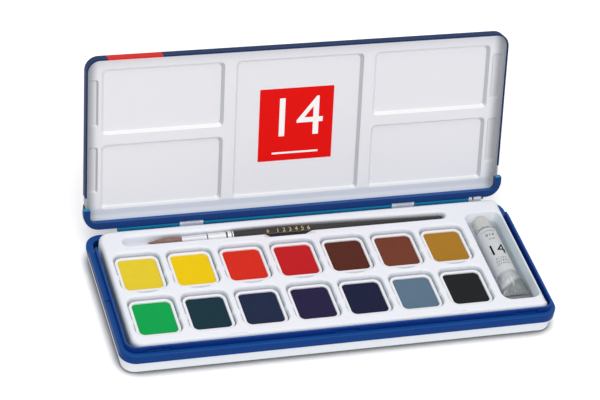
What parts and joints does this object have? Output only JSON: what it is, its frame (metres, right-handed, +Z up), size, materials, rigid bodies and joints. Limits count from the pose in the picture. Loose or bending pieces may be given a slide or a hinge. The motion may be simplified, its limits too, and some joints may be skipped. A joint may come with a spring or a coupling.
{
  "type": "gouache paint set box",
  "caption": "Flat hinged paint box, open: pans of gouache in a lift-out tray with a brush and a tube, and a mixing palette in the lid.",
  "frame": {"origin": "centre of the flat underside of the base", "axes": "+X along the box to the right as seen from the front, +Y from the front to the hinge side, +Z up; the lid is open at rest"},
  "size_m": [0.275, 0.1539, 0.1202],
  "materials": {
    "shell_white": "gloss",
    "collar_blue": "gloss",
    "pin_steel": "satin",
    "lid_navy": "gloss",
    "palette_white": "satin",
    "label_red": "satin",
    "tray_white": "satin",
    "pan_white": "gloss",
    "hair_brown": "matte",
    "ferrule": "polished",
    "handle_black": "lacquered",
    "tube_metal": "satin",
    "cap_white": "gloss",
    "paint_01": "matte",
    "paint_02": "matte",
    "paint_03": "matte",
    "paint_04": "matte",
    "paint_05": "matte",
    "paint_06": "matte",
    "paint_07": "matte",
    "paint_08": "matte",
    "paint_09": "matte",
    "paint_10": "matte",
    "paint_11": "matte",
    "paint_12": "matte",
    "paint_13": "matte",
    "paint_14": "matte"
  },
  "bodies": {
    "base": {"base_shell": "shell_white", "collar": "collar_blue", "hinge_pin": "pin_steel"},
    "lid": {"lid_shell": "lid_navy", "palette": "palette_white", "palette_rim": "palette_white", "lid_label": "label_red", "hinge_band": "collar_blue"},
    "tray": {"tray": "tray_white"},
    "pan_01": {"pan_01": "pan_white", "paint_01": "paint_01"},
    "pan_02": {"pan_02": "pan_white", "paint_02": "paint_02"},
    "pan_03": {"pan_03": "pan_white", "paint_03": "paint_03"},
    "pan_04": {"pan_04": "pan_white", "paint_04": "paint_04"},
    "pan_05": {"pan_05": "pan_white", "paint_05": "paint_05"},
    "pan_06": {"pan_06": "pan_white", "paint_06": "paint_06"},
    "pan_07": {"pan_07": "pan_white", "paint_07": "paint_07"},
    "pan_08": {"pan_08": "pan_white", "paint_08": "paint_08"},
    "pan_09": {"pan_09": "pan_white", "paint_09": "paint_09"},
    "pan_10": {"pan_10": "pan_white", "paint_10": "paint_10"},
    "pan_11": {"pan_11": "pan_white", "paint_11": "paint_11"},
    "pan_12": {"pan_12": "pan_white", "paint_12": "paint_12"},
    "pan_13": {"pan_13": "pan_white", "paint_13": "paint_13"},
    "pan_14": {"pan_14": "pan_white", "paint_14": "paint_14"},
    "brush": {"brush_hair": "hair_brown", "brush_ferrule": "ferrule", "brush_handle": "handle_black"},
    "tube": {"tube_body": "tube_metal"},
    "cap": {"tube_cap": "cap_white"}
  },
  "joints": [
    {"name": "lid_hinge", "type": "hinge", "parent": "base", "child": "lid", "pos_m": [0, 0.0573, 0.0145], "axis": [-1, 0, 0], "range_deg": [-107.5, 0]},
    {"name": "tray_lift", "type": "slide", "parent": "base", "child": "tray", "axis": [0, 0, 1], "range_m": [0, 0.06]},
    {"name": "pan_01_lift", "type": "slide", "parent": "tray", "child": "pan_01", "axis": [0, 0, 1], "range_m": [0, 0.03]},
    {"name": "pan_02_lift", "type": "slide", "parent": "tray", "child": "pan_02", "axis": [0, 0, 1], "range_m": [0, 0.03]},
    {"name": "pan_03_lift", "type": "slide", "parent": "tray", "child": "pan_03", "axis": [0, 0, 1], "range_m": [0, 0.03]},
    {"name": "pan_04_lift", "type": "slide", "parent": "tray", "child": "pan_04", "axis": [0, 0, 1], "range_m": [0, 0.03]},
    {"name": "pan_05_lift", "type": "slide", "parent": "tray", "child": "pan_05", "axis": [0, 0, 1], "range_m": [0, 0.03]},
    {"name": "pan_06_lift", "type": "slide", "parent": "tray", "child": "pan_06", "axis": [0, 0, 1], "range_m": [0, 0.03]},
    {"name": "pan_07_lift", "type": "slide", "parent": "tray", "child": "pan_07", "axis": [0, 0, 1], "range_m": [0, 0.03]},
    {"name": "pan_08_lift", "type": "slide", "parent": "tray", "child": "pan_08", "axis": [0, 0, 1], "range_m": [0, 0.03]},
    {"name": "pan_09_lift", "type": "slide", "parent": "tray", "child": "pan_09", "axis": [0, 0, 1], "range_m": [0, 0.03]},
    {"name": "pan_10_lift", "type": "slide", "parent": "tray", "child": "pan_10", "axis": [0, 0, 1], "range_m": [0, 0.03]},
    {"name": "pan_11_lift", "type": "slide", "parent": "tray", "child": "pan_11", "axis": [0, 0, 1], "range_m": [0, 0.03]},
    {"name": "pan_12_lift", "type": "slide", "parent": "tray", "child": "pan_12", "axis": [0, 0, 1], "range_m": [0, 0.03]},
    {"name": "pan_13_lift", "type": "slide", "parent": "tray", "child": "pan_13", "axis": [0, 0, 1], "range_m": [0, 0.03]},
    {"name": "pan_14_lift", "type": "slide", "parent": "tray", "child": "pan_14", "axis": [0, 0, 1], "range_m": [0, 0.03]},
    {"name": "brush_lift", "type": "slide", "parent": "tray", "child": "brush", "axis": [0, 0, 1], "range_m": [0, 0.04]},
    {"name": "tube_lift", "type": "slide", "parent": "tray", "child": "tube", "axis": [0, 0, 1], "range_m": [0, 0.04]},
    {"name": "cap_turn", "type": "hinge", "parent": "tube", "child": "cap", "pos_m": [0.11755, 0.0315, 0.012], "axis": [0, 1, 0], "range_deg": [0, 720]}
  ]
}
